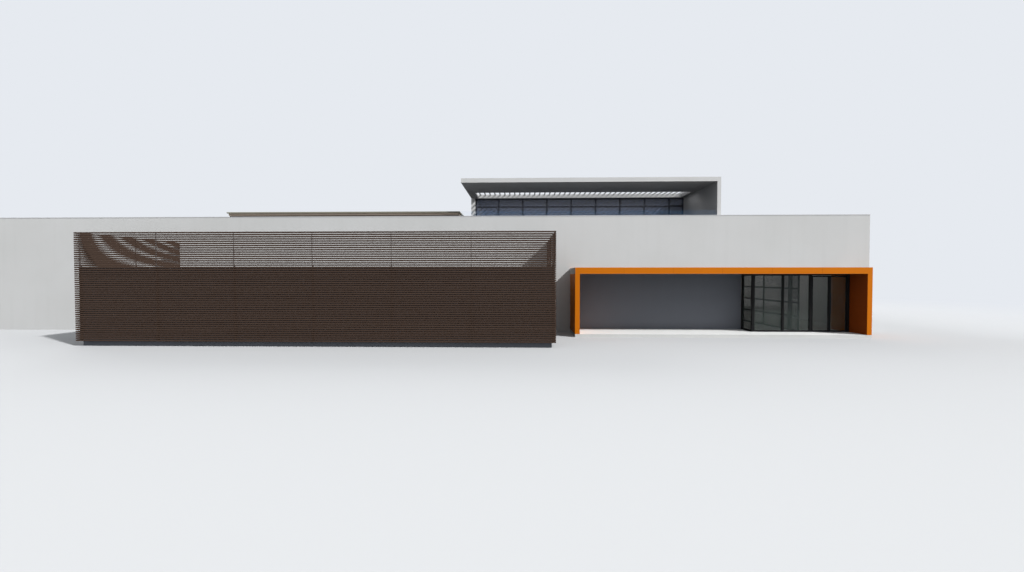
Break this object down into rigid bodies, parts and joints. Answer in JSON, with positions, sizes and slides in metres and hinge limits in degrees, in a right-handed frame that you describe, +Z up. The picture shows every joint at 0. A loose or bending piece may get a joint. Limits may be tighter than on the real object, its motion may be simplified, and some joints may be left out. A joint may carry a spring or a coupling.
{
  "type": "supermarket building, 1:2 scale model",
  "caption": "long rendered shop hall with a glazed entrance in an orange portal, a slatted side block and a glazed upper storey with a roof terrace",
  "frame": {"origin": "on the ground under the middle of the building's outline", "axes": "+Z up, the entrance front faces -Y, +X runs to the right along the front"},
  "size_m": [26.85, 18.035, 4.6],
  "materials": {
    "white_render": "smooth white rendered wall",
    "grey_render": "smooth dark grey rendered wall",
    "floor_concrete": "pale trowelled concrete",
    "roofing": "pale grey roofing sheet",
    "coping_metal": "white coated sheet metal",
    "portal_orange": "orange coated metal panels",
    "slat_wood": "dark brown stained timber slats",
    "dark_metal": "near-black coated aluminium",
    "entrance_glass": "clear glass with a faint green-grey tint",
    "window_glass": "blue-grey tinted glass",
    "steel": "brushed stainless steel",
    "roof_brown": "brown coated roof sheet"
  },
  "bodies": {
    "building": {"floor_slab": "floor_concrete", "front_wall_left": "white_render", "front_wall_over_opening": "white_render", "front_wall_middle": "white_render", "portal_back_wall": "grey_render", "front_wall_over_portal": "white_render", "front_wall_right": "white_render", "left_wall": "white_render", "right_wall": "white_render", "rear_wall": "white_render", "roof_deck": "roofing", "parapet_coping": "coping_metal", "entrance_platform": "floor_concrete", "portal_jambs": "portal_orange", "portal_canopy": "portal_orange", "lobby_posts": "dark_metal", "lobby_rails": "dark_metal", "lobby_glass": "entrance_glass", "partition_frame": "dark_metal", "partition_glass": "entrance_glass", "block_floor": "floor_concrete", "block_front_wall": "grey_render", "block_side_walls": "grey_render", "block_roof": "roofing", "screen_front": "slat_wood", "screen_left": "slat_wood", "screen_right": "slat_wood", "screen_carriers": "dark_metal", "upper_roof": "white_render", "strip_bars": "white_render", "upper_fin_wall": "white_render", "upper_left_wall": "white_render", "upper_rear_wall": "white_render", "upper_window_frame": "dark_metal", "upper_window_glass": "window_glass", "balustrade_rail": "steel", "balustrade_glass": "window_glass", "raised_roof_walls": "roof_brown", "raised_roof_top": "roof_brown"},
    "door_left": {"door_leaf_left": "dark_metal", "door_glass_left": "entrance_glass", "door_pull_left": "steel"},
    "door_right": {"door_leaf_right": "dark_metal", "door_glass_right": "entrance_glass", "door_pull_right": "steel"}
  },
  "joints": [
    {"name": "door_left_hinge", "type": "hinge", "parent": "building", "child": "door_left", "pos_m": [11.407, -6.5605, 0.091], "axis": [0, 0, 1], "range_deg": [0, 90]},
    {"name": "door_right_hinge", "type": "hinge", "parent": "building", "child": "door_right", "pos_m": [12.356, -6.5605, 0.091], "axis": [0, 0, -1], "range_deg": [0, 90]}
  ]
}
